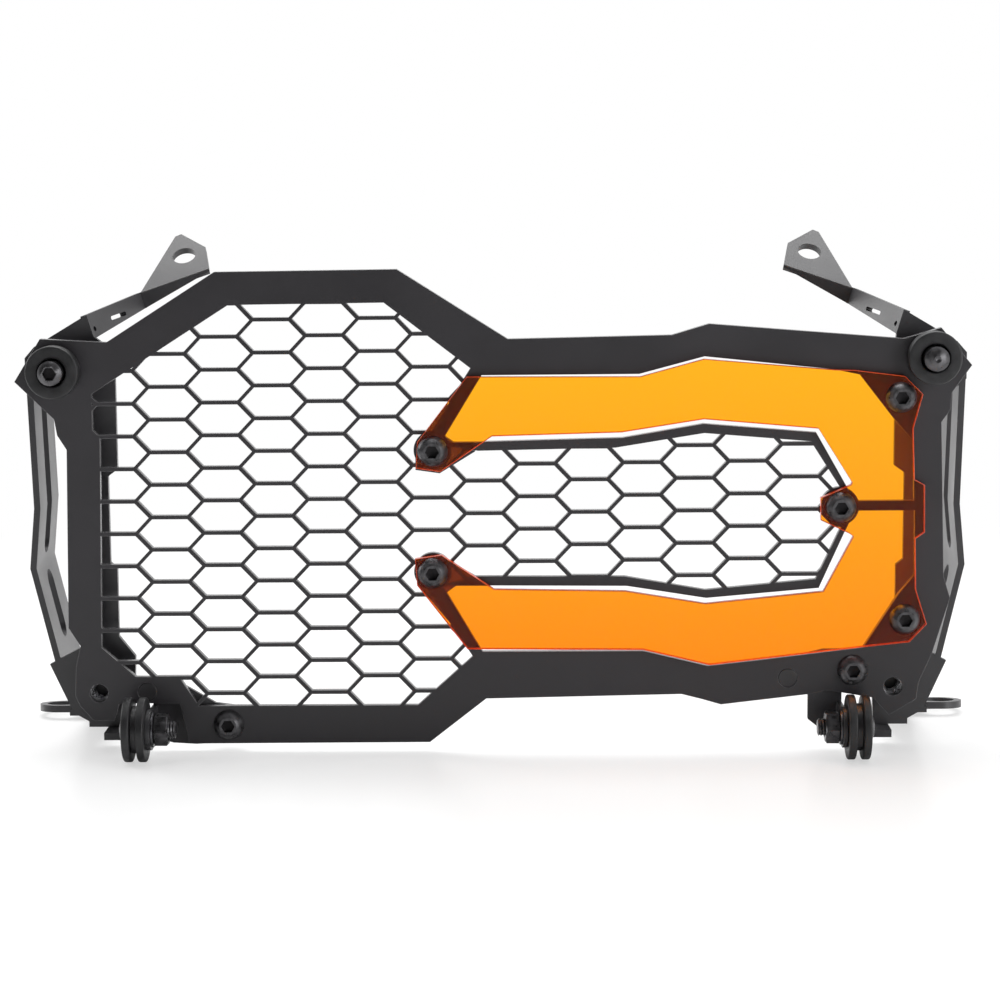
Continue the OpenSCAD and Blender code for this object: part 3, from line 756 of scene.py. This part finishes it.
# %% Floor
def seen_directly(nodes, links, share=None):
    """1 for rays from the camera, times a share if given, and 1 for rays through the lens."""
    path = nodes.new("ShaderNodeLightPath")
    part = nodes.new("ShaderNodeMath")
    part.operation = "MULTIPLY"
    part.inputs[1].default_value = 1.0
    direct = nodes.new("ShaderNodeMath")
    direct.operation = "MAXIMUM"
    links.new(path.outputs["Is Camera Ray"], part.inputs[0])
    if share is not None:
        links.new(share, part.inputs[1])
    links.new(part.outputs["Value"], direct.inputs[0])
    links.new(path.outputs["Is Transmission Ray"], direct.inputs[1])
    return direct.outputs["Value"]


def white_floor():
    """A glossy white floor that the camera sees as plain white away from the guard."""
    material, nodes, links, shader = new_finish("white_floor", (0.92, 0.92, 0.92), 0.28)
    shader.inputs["Specular IOR Level"].default_value = 0.35
    glow = nodes.new("ShaderNodeEmission")
    glow.inputs["Color"].default_value = (1, 1, 1, 1)
    place = nodes.new("ShaderNodeTexCoord")
    reach = nodes.new("ShaderNodeVectorMath")
    reach.operation = "LENGTH"
    links.new(place.outputs["Object"], reach.inputs[0])
    mix = nodes.new("ShaderNodeMixShader")
    share = ramp(nodes, links, reach.outputs["Value"], 0.55, 1.0, 0.2, 0.55)
    links.new(seen_directly(nodes, links, share), mix.inputs["Fac"])
    links.new(shader.outputs["BSDF"], mix.inputs[1])
    links.new(glow.outputs["Emission"], mix.inputs[2])
    links.new(mix.outputs["Shader"], nodes["Material Output"].inputs["Surface"])
    return material


floor_mesh = bpy.data.meshes.new("floor")
floor_mesh.from_pydata([(-9, -9, 0), (9, -9, 0), (9, 9, 0), (-9, 9, 0)], [], [(0, 1, 2, 3)])
floor_mesh.materials.append(white_floor())
floor = bpy.data.objects.new("floor", floor_mesh)
bpy.context.scene.collection.objects.link(floor)

# %% World
world = bpy.data.worlds.new("studio")
bpy.context.scene.world = world
world.use_nodes = True
nodes, links = world.node_tree.nodes, world.node_tree.links
background = nodes["Background"]
background.inputs["Color"].default_value = (1, 1, 1, 1)
compass = nodes.new("ShaderNodeTexCoord")
split = nodes.new("ShaderNodeSeparateXYZ")
links.new(compass.outputs["Generated"], split.inputs["Vector"])
backward = nodes.new("ShaderNodeMath")
backward.operation = "MULTIPLY_ADD"
backward.inputs[1].default_value = 0.2
links.new(split.outputs["X"], backward.inputs[0])
links.new(split.outputs["Y"], backward.inputs[2])
room = ramp(nodes, links, backward.outputs["Value"], 0.08, 1.0, -0.6, 0.1)
level = nodes.new("ShaderNodeMix")
links.new(seen_directly(nodes, links), level.inputs["Factor"])
links.new(room, level.inputs["A"])
level.inputs["B"].default_value = 1.0
links.new(level.outputs["Result"], background.inputs["Strength"])


# %% Lamps
def soft_lamp(name, place, target, size, power):
    """A square area lamp at a place in metres that faces a target."""
    data = bpy.data.lights.new(name, "AREA")
    data.shape, data.size, data.energy = "SQUARE", size, power
    lamp = bpy.data.objects.new(name, data)
    bpy.context.scene.collection.objects.link(lamp)
    aim = (Vector(target) - Vector(place)).to_track_quat("-Z", "Y")
    lamp.matrix_world = Matrix.LocRotScale(Vector(place), aim, None)


soft_lamp("top_box", (0.0, 0.5, 1.4), (0, 0, 0.1), 1.1, 19.5)
soft_lamp("left_box", (-1.2, 0.7, 0.7), (0, 0, 0.1), 0.9, 10)
soft_lamp("right_box", (1.0, -0.8, 0.35), (0.15, 0, 0.1), 0.6, 6)


# %% [markdown]
# ## Camera
# The photograph's perspective was solved from the grille's own outline: a
# camera 0.9 m away, 8 degrees above the middle of the grille, one degree to
# its right, with a slight roll and a long lens.

# %% Camera
camera_data = bpy.data.cameras.new("camera")
camera_data.lens = 95.3
camera_data.sensor_width = 36.0
camera_data.shift_x = 0.005
camera_data.shift_y = 0.006
camera = bpy.data.objects.new("camera", camera_data)
bpy.context.scene.collection.objects.link(camera)
middle_z = 0.0855
target = Vector((0.0, front_y * MM, middle_z))
distance = 0.9
elevation = math.radians(8)
azimuth = math.radians(1)
roll = math.radians(-0.45)
place = target + distance * Vector((math.cos(elevation) * math.sin(azimuth),
                                    -math.cos(elevation) * math.cos(azimuth),
                                    math.sin(elevation)))
turn = (target - place).to_track_quat("-Z", "Y").to_matrix().to_4x4()
camera.matrix_world = Matrix.Translation(place) @ turn @ Matrix.Rotation(roll, 4, "Z")
bpy.context.scene.camera = camera
bpy.context.scene.view_settings.view_transform = "Standard"
